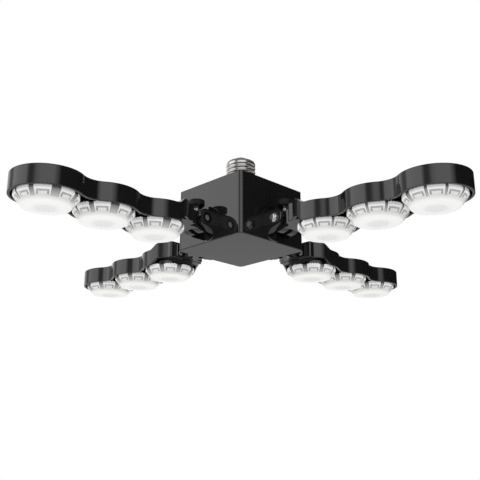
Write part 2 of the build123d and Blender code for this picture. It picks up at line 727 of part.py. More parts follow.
def side_outline():
    """The arm from the side, with the step up to its root."""
    half_x = (ROOT_STEP_INNER_X + ROOT_STEP_OUTER_X) / 2
    outer_x = TIP_X + EDGE_R
    with BuildSketch(Plane.XZ) as side:
        with BuildLine():
            for z in (BAND_BOTTOM, BAND_TOP):
                Line((outer_x, z), (ROOT_STEP_OUTER_X, z))
                Bezier(
                    (ROOT_STEP_OUTER_X, z),
                    (half_x, z),
                    (half_x, z + ROOT_RISE),
                    (ROOT_STEP_INNER_X, z + ROOT_RISE),
                )
                Line((ROOT_STEP_INNER_X, z + ROOT_RISE), (ROOT_X, z + ROOT_RISE))
            Line((ROOT_X, BAND_BOTTOM + ROOT_RISE), (ROOT_X, BAND_TOP + ROOT_RISE))
            Line((outer_x, BAND_BOTTOM), (outer_x, BAND_TOP))
        make_face()
    return side.sketch


def make_arm_frame():
    """The arm's tray: a deck with a deep band around it, open below, and collars for the lenses."""
    collar_foot = BAND_BOTTOM + CROWN_FOOT + LENS_CLEARANCE * 4
    board_slot = LED_BRIDGE_WIDTH + 2 * SLOT_CLEARANCE
    side = side_outline()
    with BuildPart() as arm_frame:
        with BuildSketch(Plane.XY.offset(BAND_BOTTOM)):
            arm_outline(0)
        extrude(amount=BAND_HEIGHT + ROOT_RISE)
        extrude(side, amount=LOBE_R + EDGE_R, both=True, mode=Mode.INTERSECT)
        rear_edges = arm_frame.edges().filter_by(Axis.Z).group_by(Axis.X)[0]
        fillet(rear_edges, ROOT_CORNER_R)
        upright = arm_frame.edges().filter_by(Axis.Z)
        fillet(arm_frame.edges() - upright, EDGE_R)
        with BuildSketch(Plane.XY.offset(BAND_BOTTOM)):
            arm_outline(BAND_WALL)
        extrude(amount=BAND_HEIGHT - DECK_THICKNESS, mode=Mode.SUBTRACT)
        with BuildSketch(Plane.XY.offset(BAND_BOTTOM + ROOT_RISE)):
            with Locations((ROOT_X + BAND_WALL / 2, 0)):
                floor_length = ROOT_TO_MODULE - BAND_WALL / 2
                floor_width = 2 * ROOT_HALF_WIDTH - BAND_WALL
                Rectangle(floor_length, floor_width, align=(Align.MIN, Align.CENTER))
            with Locations((MODULES[0], 0)):
                Circle(COLLAR_R - COLLAR_WALL / 2, mode=Mode.SUBTRACT)
        extrude(amount=ROOT_FLOOR)
        with BuildSketch(Plane.XY.offset(collar_foot)):
            for x in MODULES:
                with Locations((x, 0)):
                    Circle(COLLAR_R)
                    Circle(COLLAR_R - COLLAR_WALL, mode=Mode.SUBTRACT)
        extrude(amount=DECK_UNDER - collar_foot)
        with BuildSketch(Plane.XY.offset(DECK_UNDER)):
            with Locations((MODULES[0], 0)):
                Rectangle(
                    MODULE_PITCH * (MODULE_COUNT - 1), board_slot, align=(Align.MIN, Align.CENTER)
                )
        extrude(amount=-BOARD_THICKNESS - SLOT_CLEARANCE, mode=Mode.SUBTRACT)
        with BuildSketch(Plane.XY.offset(DECK_UNDER)):
            with Locations((MODULES[0], 0)):
                slot_width = 2 * (LEAD_SPACING + LEAD_R + HOLE_CLEARANCE)
                Rectangle(COLLAR_R + EDGE_R, slot_width, align=(Align.MAX, Align.CENTER))
        extrude(amount=LEAD_Z - LEAD_R - HOLE_CLEARANCE - DECK_UNDER, mode=Mode.SUBTRACT)
        with BuildSketch(Plane.YZ.offset(ROOT_X)):
            with Locations((0, LEAD_Z)):
                SlotCenterToCenter(2 * LEAD_SPACING, 2 * (LEAD_R + HOLE_CLEARANCE))
            with Locations((-PLATE_SCREW_Y, PLATE_SCREW_Z), (PLATE_SCREW_Y, PLATE_SCREW_Z)):
                Circle(PLATE_SCREW[0] + PILOT_CLEARANCE)
        extrude(amount=BAND_WALL, mode=Mode.SUBTRACT)
        with BuildSketch(Plane.XY.offset(DECK_UNDER)):
            with Locations(*board_screw_places()):
                Circle(SMALL_SCREW[0] + PILOT_CLEARANCE)
        extrude(amount=SMALL_SCREW[1] - BOARD_THICKNESS, mode=Mode.SUBTRACT)
    return arm_frame.part


def board_screw_places():
    return [(x, side * LED_BOARD_SCREW_Y) for x in MODULES for side in (-1, 1)]


def make_lens():
    """One lens about its own axis, with z = 0 at the foot of the band: a domed bowl, an inner skirt
    that fits the collar, and a crown of tabs with windows outside the collar."""
    skirt_outer_r = COLLAR_R - COLLAR_WALL - LENS_CLEARANCE
    skirt_inner_r = skirt_outer_r - LENS_WALL
    dome_foot = DOME_EDGE - DOME_DEPTH
    inner_edge = DOME_EDGE + LENS_WALL
    inner_r = DOME_R - LENS_WALL / 2
    dome_r = (DOME_R**2 + DOME_DEPTH**2) / (2 * DOME_DEPTH)
    slope = (CROWN_FOOT - DOME_EDGE) / (CROWN_R - DOME_R)
    groove_z = CROWN_FOOT - (CROWN_INNER_R - skirt_outer_r) * slope
    neck_z = DOME_EDGE + (skirt_inner_r - inner_r) * slope + LENS_WALL
    with BuildPart() as lens:
        with BuildSketch(Plane.XZ):
            with BuildLine():
                RadiusArc((DOME_R, DOME_EDGE), (0, dome_foot), dome_r)
                Line((0, dome_foot), (0, dome_foot + LENS_WALL))
                RadiusArc((0, dome_foot + LENS_WALL), (inner_r, inner_edge), -dome_r)
                Polyline(
                    (inner_r, inner_edge),
                    (skirt_inner_r, neck_z),
                    (skirt_inner_r, LENS_SKIRT_TOP),
                    (skirt_outer_r, LENS_SKIRT_TOP),
                    (skirt_outer_r, groove_z),
                    (CROWN_INNER_R, CROWN_FOOT),
                    (CROWN_INNER_R, CROWN_TOP),
                    (CROWN_R, CROWN_TOP),
                    (CROWN_R, CROWN_FOOT),
                    (DOME_R, DOME_EDGE),
                )
            make_face()
        revolve(axis=Axis.Z)
        with BuildSketch(Plane.XY.offset(CROWN_TOP)):
            with PolarLocations(CROWN_R, TAB_COUNT, start_angle=GAP_PHASE):
                Rectangle(2 * (CROWN_R - skirt_outer_r), TAB_GAP)
            Circle(skirt_outer_r, mode=Mode.SUBTRACT)
        extrude(amount=-GAP_DEPTH, mode=Mode.SUBTRACT)
        with BuildSketch(Plane.XY.offset(WINDOW_TOP)):
            with PolarLocations(CROWN_R, TAB_COUNT, start_angle=GAP_PHASE + 180 / TAB_COUNT):
                Rectangle(2 * (CROWN_R - skirt_outer_r), WINDOW_WIDTH)
            Circle(skirt_outer_r, mode=Mode.SUBTRACT)
        extrude(amount=-WINDOW_HEIGHT, mode=Mode.SUBTRACT)
        with BuildSketch(Plane.XY.offset(CROWN_TOP)):
            with PolarLocations(CROWN_R, TAB_COUNT, start_angle=GAP_PHASE + 180 / TAB_COUNT):
                Rectangle(2 * (CROWN_R - skirt_outer_r), NOTCH_WIDTH)
            Circle(skirt_outer_r, mode=Mode.SUBTRACT)
        extrude(amount=-NOTCH_DEPTH, mode=Mode.SUBTRACT)
    return lens.part


def make_led_board():
    """The strip board under the deck: three discs joined by bridges, with its screw holes."""
    with BuildPart() as led_board:
        with BuildSketch(Plane.XY.offset(LED_BOARD_BOTTOM)):
            for x in MODULES:
                with Locations((x, 0)):
                    Circle(LED_BOARD_R)
            with Locations((MODULES[0], 0)):
                bridge_length = MODULES[-1] - MODULES[0]
                Rectangle(bridge_length, LED_BRIDGE_WIDTH, align=(Align.MIN, Align.CENTER))
            with Locations(*board_screw_places()):
                Circle(SMALL_SCREW[0] + PILOT_CLEARANCE, mode=Mode.SUBTRACT)
        extrude(amount=BOARD_THICKNESS)
    return led_board.part


def make_led_chips():
    length, width, height = CHIP_SIZE
    with BuildPart() as led_chips:
        with BuildSketch(Plane.XY.offset(LED_BOARD_BOTTOM)):
            for x in MODULES:
                with Locations((x, 0)):
                    for ring_r, count in CHIP_RINGS:
                        with PolarLocations(ring_r, count):
                            Rectangle(length, width)
        extrude(amount=-height)
    return led_chips.part


def make_arm_screws():
    """The screws under the LED board and the two through the knuckle's plate into the root."""
    down = Plane(origin=(0, 0, LED_BOARD_BOTTOM), x_dir=(1, 0, 0), z_dir=(0, 0, -1))
    back = Plane(origin=(PLATE_X, 0, PLATE_SCREW_Z), x_dir=(0, 1, 0), z_dir=(-1, 0, 0))
    board_screw = screw(SMALL_SCREW)
    plate_screw = screw(PLATE_SCREW)
    with BuildPart() as arm_screws:
        with Locations(down):
            with Locations(*board_screw_places()):
                add(board_screw)
        with Locations(back):
            with Locations((-PLATE_SCREW_Y, 0), (PLATE_SCREW_Y, 0)):
                add(plate_screw)
    return arm_screws.part


def make_arm_leads():
    """A pair of leads from the knuckle's groove through its neck to the LED board."""
    start_x = HINGE_X + KNUCKLE_R - LEAD_BEND_R
    end_x = MODULES[0] - LED_BOARD_R + LEAD_BEND_R
    one_lead = lead([(start_x, 0, LEAD_Z), (end_x, 0, LEAD_Z)])
    with BuildPart() as arm_leads:
        with GridLocations(0, 2 * LEAD_SPACING, 1, 2):
            add(one_lead)
    return arm_leads.part


def arm_pieces():
    """Every node of the arm along +X, by name."""
    lens = make_lens()
    pieces = {
        "arm_frame": make_arm_frame(),
        "arm_knuckle": make_arm_knuckle(),
        "lock_screw": make_lock_screw(),
        "arm_screws": make_arm_screws(),
        "arm_leads": make_arm_leads(),
        "led_board": make_led_board(),
        "led_chips": make_led_chips(),
        "hinge_bracket": make_hinge_bracket(),
    }
    for name, x in zip(("lens_inner", "lens_middle", "lens_outer"), MODULES):
        pieces[name] = lens.moved(Location((x, 0, BAND_BOTTOM)))
    return pieces


def body_pieces():
    """Every node that is made once, by name."""
    return {
        "screw_shell": make_screw_shell(),
        "base_insulator": make_base_insulator(),
        "centre_contact": make_centre_contact(),
        "base_leads": make_base_leads(),
        "top_cover": make_top_cover(),
        "cover_screws": make_cover_screws(),
        "housing_shell": make_housing_shell(),
        "driver_board": make_driver_board(),
        "driver_screws": make_driver_screws(),
        "driver_transformer": make_driver_transformer(),
        "driver_capacitors": make_driver_capacitors(),
        "feed_leads": make_feed_leads(),
        "bracket_screws": make_bracket_screws(),
        "pivot_bolts": make_pivot_bolts(),
        "pivot_nuts": make_pivot_nuts(),
        "hinge_washers": make_hinge_washers(),
    }


def export_piece(piece, name):
    piece.label = name
    export_step(piece, f"parts/{name}.step")


os.makedirs("parts", exist_ok=True)
for name, piece in body_pieces().items():
    export_piece(piece, name)
for name, piece in arm_pieces().items():
    for index in range(ARM_COUNT):
        export_piece(piece.rotate(Axis.Z, ARM_TURN * index), f"{name}_{index + 1}")
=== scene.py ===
import json
from math import cos, pi, radians, sin, sqrt

import bpy
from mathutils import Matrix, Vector


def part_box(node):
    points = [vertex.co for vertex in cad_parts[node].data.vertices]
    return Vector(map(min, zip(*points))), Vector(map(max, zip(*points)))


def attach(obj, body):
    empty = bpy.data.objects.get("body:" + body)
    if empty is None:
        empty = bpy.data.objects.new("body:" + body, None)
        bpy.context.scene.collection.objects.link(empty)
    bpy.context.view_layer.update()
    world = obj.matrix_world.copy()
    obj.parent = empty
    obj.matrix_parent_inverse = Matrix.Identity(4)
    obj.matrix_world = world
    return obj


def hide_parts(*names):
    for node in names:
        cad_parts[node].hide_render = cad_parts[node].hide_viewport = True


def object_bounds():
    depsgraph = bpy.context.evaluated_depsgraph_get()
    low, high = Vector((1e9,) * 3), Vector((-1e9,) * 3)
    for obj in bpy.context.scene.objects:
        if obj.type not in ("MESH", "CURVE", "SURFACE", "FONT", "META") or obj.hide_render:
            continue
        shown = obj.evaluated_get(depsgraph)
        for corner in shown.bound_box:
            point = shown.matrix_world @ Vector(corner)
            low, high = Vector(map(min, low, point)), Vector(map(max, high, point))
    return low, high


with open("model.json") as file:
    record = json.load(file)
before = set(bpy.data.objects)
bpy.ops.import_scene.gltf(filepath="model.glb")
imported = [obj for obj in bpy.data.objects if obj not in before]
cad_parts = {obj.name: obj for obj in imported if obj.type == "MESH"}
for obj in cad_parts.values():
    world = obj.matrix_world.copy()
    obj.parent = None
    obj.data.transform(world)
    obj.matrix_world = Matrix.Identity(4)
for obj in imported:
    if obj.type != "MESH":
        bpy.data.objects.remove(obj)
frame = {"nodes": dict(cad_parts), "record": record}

MM = 0.001
cad_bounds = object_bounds()

# Camera: its place and direction, and its lens and sensor in millimetres
CAMERA_PLACE = Vector((442.3, -443.2, -242.8)) * MM
CAMERA_VIEW = Vector((-0.6762, 0.6762, 0.2925))
CAMERA_LENS = 56.73
CAMERA_SENSOR = 36.0

# Floor and lamp, in metres and watts
FLOOR_DROP = 0.55
FLOOR_R = 2.4
FLOOR_COLOR = (0.82, 0.82, 0.82, 1.0)
FLOOR_GLOW = 0.30
KEY_PLACE = Vector((-0.9, -1.4, 1.3))
KEY_TARGET = Vector((0, 0, -0.04))
KEY_SIZE = 1.2
KEY_POWER = 14.0

# Light that reaches matt surfaces from all round, and what the camera sees as background
SOFT_LIGHT = (0.85, 0.85, 0.85, 1.0)
WHITE = (1.0, 1.0, 1.0, 1.0)

# What a glossy surface sees around the horizon: (azimuth in degrees, brightness)
STUDIO_WALLS = (
    (-180, 0.80), (-172, 0.80), (-164, 0.36), (-152, 0.34), (-143, 1.15), (-97, 1.10),
    (-86, 0.20), (-76, 0.18), (-64, 0.75), (-50, 0.98), (-14, 0.98), (8, 0.02),
    (104, 0.0), (116, 0.55), (134, 1.0), (158, 1.0), (174, 0.80), (180, 0.80),
)
# What it sees above and below them, and the slopes between which each takes over from the walls
CEILING_IN_GLOSS = (0.18, 0.18, 0.18, 1.0)
CEILING_START = 0.45
CEILING_FULL = 0.8
FLOOR_IN_GLOSS = (0.45, 0.45, 0.45, 1.0)
FLOOR_START = -0.02
FLOOR_FULL = -0.12

# Fine grain of the surfaces: the range that most of a noise lies in, and the depth of a bump
NOISE_LOW = 0.3
NOISE_HIGH = 0.7
BUMP_DISTANCE = 0.0001
METAL_SHADE = 0.85
PLASTIC_SHADE = 0.8


class Nodes:
    """A small helper around a node tree: makes nodes, sets their sockets and links them."""

    def __init__(self, tree):
        self.tree = tree
        tree.nodes.clear()

    def make(self, kind, inputs=None, **settings):
        node = self.tree.nodes.new(kind)
        for name, value in settings.items():
            setattr(node, name, value)
        for name, value in (inputs or {}).items():
            self.feed(node, name, value)
        return node

    def feed(self, node, name, value):
        socket = node.inputs[name]
        if isinstance(value, bpy.types.NodeSocket):
            self.tree.links.new(value, socket)
        else:
            socket.default_value = value

    def object_place(self):
        return self.make("ShaderNodeTexCoord").outputs["Object"]

    def split(self, vector):
        return self.make("ShaderNodeSeparateXYZ", {0: vector}).outputs

    def math(self, operation, *values):
        node = self.make("ShaderNodeMath", operation=operation)
        for index, value in enumerate(values):
            self.feed(node, index, value)
        return node.outputs[0]

    def between(self, value, low, high, new_low, new_high):
        """The value, moved from one range into another and held inside it."""
        inputs = {
            "Value": value, "From Min": low, "From Max": high,
            "To Min": new_low, "To Max": new_high,
        }
        return self.make("ShaderNodeMapRange", inputs).outputs["Result"]

    def noise(self, place, scale, detail, roughness=0.5):
        inputs = {"Vector": place, "Scale": scale, "Detail": detail, "Roughness": roughness}
        return self.make("ShaderNodeTexNoise", inputs).outputs["Fac"]

    def vary(self, noise, low, high):
        return self.between(noise, NOISE_LOW, NOISE_HIGH, low, high)

    def bump(self, height, strength):
        inputs = {"Strength": strength, "Distance": BUMP_DISTANCE, "Height": height}
        return self.make("ShaderNodeBump", inputs).outputs["Normal"]

    def ramp(self, factor, stops):
        """Colours along a value, from stops of (place, colour or grey level)."""
        node = self.make("ShaderNodeValToRGB", {"Fac": factor})
        elements = node.color_ramp.elements
        while len(elements) < len(stops):
            elements.new(0.5)
        for element, (place, color) in zip(elements, stops):
            element.position = place
            element.color = color if isinstance(color, tuple) else (color, color, color, 1.0)
        return node.outputs["Color"]

    def mix(self, factor, first, second, blend_type="MIX"):
        node = self.make("ShaderNodeMix", data_type="RGBA", blend_type=blend_type)
        for index, value in ((0, factor), (6, first), (7, second)):
            self.feed(node, index, value)
        return node.outputs[2]

    def surface(self, inputs):
        """Ends a material with a principled shader."""
        self.output(self.make("ShaderNodeBsdfPrincipled", inputs))

    def output(self, shader):
        self.make("ShaderNodeOutputMaterial", {"Surface": shader.outputs[0]})


def new_material(name):
    material = bpy.data.materials.new(name)
    material.use_nodes = True
    return material, Nodes(material.node_tree)


def set_material(obj, material):
    obj.data.materials.clear()
    obj.data.materials.append(material)


def darker(color, shade):
    return tuple(value * shade for value in color[:3]) + (1.0,)


def gloss_black():
    material, n = new_material("gloss_black")
    place = n.object_place()
    haze = n.noise(place, 60.0, detail=4.0)
    peel = n.noise(place, 900.0, detail=1.0)
    n.surface({
        "Base Color": n.mix(haze, (0.006, 0.006, 0.007, 1.0), (0.011, 0.011, 0.012, 1.0)),
        "Roughness": n.vary(haze, 0.02, 0.05),
        "Specular IOR Level": 1.0,
        "Normal": n.bump(peel, 0.02),
    })
    return material


def plain_metal(name, color, rough_low, rough_high, bump_strength=0.05):
    material, n = new_material(name)
    grain = n.noise(n.object_place(), 400.0, detail=5.0, roughness=0.6)
    n.surface({
        "Base Color": n.mix(grain, darker(color, METAL_SHADE), color),
        "Metallic": 1.0,
        "Roughness": n.vary(grain, rough_low, rough_high),
        "Normal": n.bump(grain, bump_strength),
    })
    return material


def plain_plastic(name, color, rough_low, rough_high):
    material, n = new_material(name)
    grain = n.noise(n.object_place(), 500.0, detail=4.0)
    n.surface({
        "Base Color": n.mix(grain, darker(color, PLASTIC_SHADE), color),
        "Roughness": n.vary(grain, rough_low, rough_high),
        "Normal": n.bump(grain, 0.1),
    })
    return material


# The lock screw's knob starts at this height at rest: dull black plastic above, grey steel below
KNOB_FOOT = -33.0 * MM


def lock_screw_material():
    material, n = new_material("lock_screw")
    place = n.object_place()
    grain = n.noise(place, 400.0, detail=5.0, roughness=0.6)
    knob = n.math("GREATER_THAN", n.split(place)[2], KNOB_FOOT)
    steel = n.mix(grain, (0.26, 0.26, 0.26, 1.0), (0.36, 0.36, 0.36, 1.0))
    plastic = n.mix(grain, (0.006, 0.006, 0.007, 1.0), (0.012, 0.012, 0.013, 1.0))
    n.surface({
        "Base Color": n.mix(knob, steel, plastic),
        "Metallic": n.between(knob, 0.0, 1.0, 1.0, 0.0),
        "Roughness": n.between(knob, 0.0, 1.0, n.vary(grain, 0.10, 0.22), 0.55),
        "Specular IOR Level": n.between(knob, 0.0, 1.0, 1.0, 0.3),
        "Normal": n.bump(grain, 0.03),
    })
    return material


def dress_nodes():
    """Each node that isn't a lens gets the material of its slot, or the lock screw's own."""
    by_slot = {
        "gloss_black": gloss_black(),
        "black_screw": plain_metal("black_screw", (0.03, 0.03, 0.03, 1.0), 0.3, 0.5),
        "nickel": plain_metal("nickel", (0.83, 0.83, 0.825, 1.0), 0.22, 0.34),
        "base_insulator": plain_plastic("base_insulator", (0.02, 0.02, 0.022, 1.0), 0.25, 0.4),
        "contact": plain_metal("contact", (0.62, 0.60, 0.56, 1.0), 0.25, 0.4),
        "lead_sheath": plain_plastic("lead_sheath", (0.03, 0.03, 0.032, 1.0), 0.35, 0.5),
        "driver_board": plain_plastic("driver_board", (0.03, 0.16, 0.06, 1.0), 0.3, 0.5),
        "steel_screw": plain_metal("steel_screw", (0.62, 0.62, 0.62, 1.0), 0.2, 0.35),
        "ferrite": plain_plastic("ferrite", (0.04, 0.04, 0.045, 1.0), 0.5, 0.7),
        "capacitor_sleeve": plain_plastic("capacitor_sleeve", (0.02, 0.04, 0.10, 1.0), 0.25, 0.4),
        "chrome_bolt": plain_metal("chrome_bolt", (0.82, 0.82, 0.82, 1.0), 0.04, 0.10, 0.02),
        "washer": plain_metal("washer", (0.5, 0.5, 0.5, 1.0), 0.3, 0.45),
        "led_board": plain_plastic("led_board", (0.86, 0.86, 0.84, 1.0), 0.35, 0.5),
        "led_chip": plain_plastic("led_chip", (0.85, 0.62, 0.10, 1.0), 0.4, 0.6),
    }
    slot_of = {part["node"]: part["material_slot"] for part in frame["record"]["subparts"]}
    lock_screw = lock_screw_material()
    for name, obj in frame["nodes"].items():
        if name.startswith("lock_screw"):
            set_material(obj, lock_screw)
        elif slot_of[name] != "lens":
            set_material(obj, by_slot[slot_of[name]])


# Lens, in millimetres: heights are from the foot of the band, radii from the lens axis
DOME_R = 17.5
DOME_EDGE = -7.5
DOME_DEPTH = 1.2
DOME_SPHERE_R = (DOME_R**2 + DOME_DEPTH**2) / (2 * DOME_DEPTH)
DOME_RINGS = 12
INNER_DOME_RINGS = 8
CROWN_R = 22.8
CROWN_INNER_R = 21.5
CROWN_FOOT = -0.9
CROWN_TOP = 1.0
CROWN_CHAMFER = 0.15
SKIRT_OUTER_R = 19.9
SKIRT_INNER_R = 18.8
SKIRT_TOP = 6.0
LENS_WALL = 1.1
SHARP_ANGLE = radians(32)
# The sloping wall from the dome's edge out and up to the crown
WALL_RUN = CROWN_R - DOME_R
WALL_RISE = CROWN_FOOT - DOME_EDGE
WALL_LENGTH = sqrt(WALL_RUN**2 + WALL_RISE**2)
WALL_FOOT_ROWS = (0.5, 1.2)
# Tabs of the crown as (first, last) degrees about the lens axis, counted from the arm's own line
TABS = (
    (-109.0, -78.0), (-73.0, -42.0), (-37.0, -6.0), (-1.0, 28.0), (37.0, 67.6), (84.0, 115.0),
    (126.0, 157.0), (168.0, 199.0), (210.0, 241.0),
)
DEGREE = pi * CROWN_R / 180
GAP_COLUMN_DEGREES = 3
# A tab: widths of its leg and slit, and where its window, itself and the gap end down the wall
LEG = 1.3
SLIT = 1.3
WINDOW_TOP = 1.6
WINDOW_FOOT = 3.0
TAB_FOOT = 5.0
GAP_FOOT = 6.2
REGION_DEPTHS = {"window": 0.6, "gap": 0.35}
GAP_DROP = 0.2
# Bumps on a tab's top: where their middles are across the tab, their half width and their rise
BUMP_PLACES = (-3.6, -1.2, 1.2, 3.6)
BUMP_HALF_WIDTH = 0.7
BUMP_RISE = 0.6
# Half the width of the small slope at each step of the surface
STEP = 0.05
# Rows on the crown are above the wall, so their distance down it is below zero
ON_CROWN = -0.1


def lens_region(inside, down):
    """What a spot of the lens is, by its distance inside the tab's side and down the wall."""
    if inside < 0:
        return "gap" if down < GAP_FOOT else "wall"
    if down > TAB_FOOT:
        return "wall"
    if inside > LEG and WINDOW_TOP < down < WINDOW_FOOT:
        return "window"
    if LEG < inside < LEG + SLIT and down >= WINDOW_FOOT:
        return "window"
    return "frame"


def lens_columns():
    """(angle, distance inside the tab's side, rise of its top) round the lens, two at a step."""
    columns = []
    for index, (first, last) in enumerate(TABS):
        half = (last - first) / 2 * DEGREE
        middle = (first + last) / 2
        edges = []
        for side in (-1, 1):
            edges += [side * half, side * (half - LEG), side * (half - LEG - SLIT)]
        for place in BUMP_PLACES:
            edges += [place - BUMP_HALF_WIDTH, place + BUMP_HALF_WIDTH]
        for edge in sorted(edges):
            for across in (edge - STEP, edge + STEP):
                on_bump = any(abs(across - place) < BUMP_HALF_WIDTH for place in BUMP_PLACES)
                rise = BUMP_RISE if on_bump else 0.0
                columns.append((middle + across / DEGREE, half - abs(across), rise))
        gap = (TABS[(index + 1) % len(TABS)][0] - last) % 360
        count = int(gap / GAP_COLUMN_DEGREES)
        for step in range(1, count):
            columns.append((last + gap * step / count, -1.0, 0.0))
    return columns


def dome_height(r):
    return DOME_EDGE - DOME_DEPTH + DOME_SPHERE_R - sqrt(DOME_SPHERE_R**2 - r**2)


def lens_outer_rows():
    """(radius, height, distance down the wall, None on the dome) out and up to the crown."""
    rows = []
    for i in range(1, DOME_RINGS + 1):
        r = DOME_R * i / DOME_RINGS
        rows.append((r, dome_height(r), None))
    downs = [WALL_LENGTH - row for row in WALL_FOOT_ROWS]
    downs.append(GAP_FOOT)
    for foot in (TAB_FOOT, WINDOW_FOOT, WINDOW_TOP):
        downs += [foot + STEP, foot - STEP]
    downs.append(0.0)
    for down in downs:
        share = 1 - down / WALL_LENGTH
        rows.append((DOME_R + WALL_RUN * share, DOME_EDGE + WALL_RISE * share, down))
    rows.append((CROWN_R, CROWN_TOP - CROWN_CHAMFER, ON_CROWN))
    rows.append((CROWN_R - CROWN_CHAMFER, CROWN_TOP, ON_CROWN))
    return rows


def lens_inner_rows():
    """(radius, height) from the crown's top down inside, round the skirt and to the dome."""
    slope = WALL_RISE / WALL_RUN
    inner_r = DOME_R - LENS_WALL / 2
    rows = [
        (CROWN_INNER_R, CROWN_TOP),
        (CROWN_INNER_R, CROWN_FOOT),
        (SKIRT_OUTER_R, CROWN_FOOT - (CROWN_INNER_R - SKIRT_OUTER_R) * slope),
        (SKIRT_OUTER_R, SKIRT_TOP),
        (SKIRT_INNER_R, SKIRT_TOP),
        (SKIRT_INNER_R, DOME_EDGE + (SKIRT_INNER_R - inner_r) * slope + LENS_WALL),
        (inner_r, DOME_EDGE + LENS_WALL),
    ]
    for i in range(INNER_DOME_RINGS - 1, 0, -1):
        r = inner_r * i / INNER_DOME_RINGS
        rows.append((r, dome_height(r) + LENS_WALL))
    return rows


def lens_points(columns, outer, inner):
    """Points column by column, up the outer rows and down the inner ones, then the two middles."""
    out, up = WALL_RISE / WALL_LENGTH, -WALL_RUN / WALL_LENGTH
    points = []
    for angle, inside, rise in columns:
        turn = radians(angle)
        top = CROWN_TOP + rise if inside > 0 else CROWN_TOP - GAP_DROP
        for r, z, down in outer:
            if down is not None:
                depth = REGION_DEPTHS.get(lens_region(inside, down), 0.0)
                if down > 0:
                    r, z = r - depth * out, z - depth * up
                else:
                    r -= depth
                if down < 0:
                    z += top - CROWN_TOP
            points.append((r * cos(turn), r * sin(turn), z))
        for r, z in inner:
            points.append((r * cos(turn), r * sin(turn), top if z == CROWN_TOP else z))
    points += [(0, 0, DOME_EDGE - DOME_DEPTH), (0, 0, DOME_EDGE - DOME_DEPTH + LENS_WALL)]
    return points


def face_finish(row, outer, inside):
    """Finish of the face that starts at this row, this far inside the tab's side."""
    if row + 1 < len(outer):
        down, next_down = outer[row][2], outer[row + 1][2]
        if next_down is None:
            return "dome"
        return "wall" if down is None else lens_region(inside, (down + next_down) / 2)
    if row < len(outer) + 2:
        return "gap" if inside < 0 else "frame"
    return "wall"


def lens_faces(columns, outer, inner):
    """(points, finish) of every face, numbered as lens_points lists the points."""
    per_column = len(outer) + len(inner)
    bottom = len(columns) * per_column
    top = bottom + 1
    faces = []
    for i in range(len(columns)):
        j = (i + 1) % len(columns)
        here, after = i * per_column, j * per_column
        insides = (columns[i][1], columns[j][1])
        inside = min(insides) if min(insides) < 0 else sum(insides) / 2
        faces.append(((bottom, after, here), "dome"))
        for row in range(per_column - 1):
            face = (here + row, after + row, after + row + 1, here + row + 1)
            faces.append((face, face_finish(row, outer, inside)))
        faces.append(((top, here + per_column - 1, after + per_column - 1), "wall"))
    return faces


def make_lens_mesh():
    """One lens about its own axis: a dome, a sloping wall and a crown of tabs with windows."""
    parts = lens_columns(), lens_outer_rows(), lens_inner_rows()
    points = [Vector(point) * MM for point in lens_points(*parts)]
    faces = lens_faces(*parts)
    mesh = bpy.data.meshes.new("lens")
    mesh.from_pydata(points, [], [face for face, finish in faces])
    finishes = ("dome", "wall", "frame", "window", "gap")
    for finish in finishes:
        mesh.materials.append(lens_finish(finish))
    for polygon, (_, finish) in zip(mesh.polygons, faces):
        polygon.material_index = finishes.index(finish)
    mesh.shade_smooth()
    mesh.set_sharp_from_angle(angle=SHARP_ANGLE)
    return mesh


# Looks of the lens, over its radius or over the height of its wall
DOME_TONES = (
    (0.0, (0.89, 0.895, 0.90, 1.0)),
    (0.40, (0.90, 0.905, 0.905, 1.0)),
    (0.55, (0.95, 0.95, 0.94, 1.0)),
    (0.80, (0.96, 0.96, 0.94, 1.0)),
    (0.93, (0.94, 0.935, 0.88, 1.0)),
    (1.0, (0.96, 0.96, 0.95, 1.0)),
)
WALL_TONES = (
    (0.0, (0.95, 0.95, 0.93, 1.0)),
    (0.25, (0.85, 0.855, 0.83, 1.0)),
    (0.6, (0.72, 0.735, 0.71, 1.0)),
)
# Gaps darken towards the crown's top: painted shade under the band, over the dark collar behind
GAP_TONES_AND_SHADE = (
    (0.0, (0.82, 0.83, 0.81, 1.0)), (0.25, 0.68), (0.5, 0.48), (0.75, 0.28),
    (1.0, (0.15, 0.155, 0.155, 1.0)),
)
FRAME_TONES = (0.82, 0.83, 0.82, 1.0), (0.92, 0.925, 0.915, 1.0)
# The windows are the frame's plastic; their grey is painted shade for the recess and the dark
# collar behind
WINDOW_SHADE_TONES = (0.46, 0.48, 0.46, 1.0), (0.62, 0.64, 0.61, 1.0)
# Painted light on the tabs: a glow that lifts the shade of the band from their tops
FRAME_PAINTED_GLOW = 0.24
# Ribs of the wall round the lens, painted as stripes of shade on a smooth surface
PAINTED_FLUTE_STRIPES = 90


def dome_look(n, place):
    """Nearly white, with a painted glow, stronger towards the rim, that stands in for light on the
    dome.
    """
    x, y, z = n.split(place)
    radius = n.math("SQRT", n.math("ADD", n.math("MULTIPLY", x, x), n.math("MULTIPLY", y, y)))
    share = n.math("DIVIDE", radius, DOME_R * MM)
    # Painted light: emission that brightens the dome, more towards its rim
    glow = n.between(share, 0.35, 0.6, 0.13, 0.20)
    return {"Base Color": n.ramp(share, DOME_TONES), "Emission Strength": glow}, 0.22, 0.32


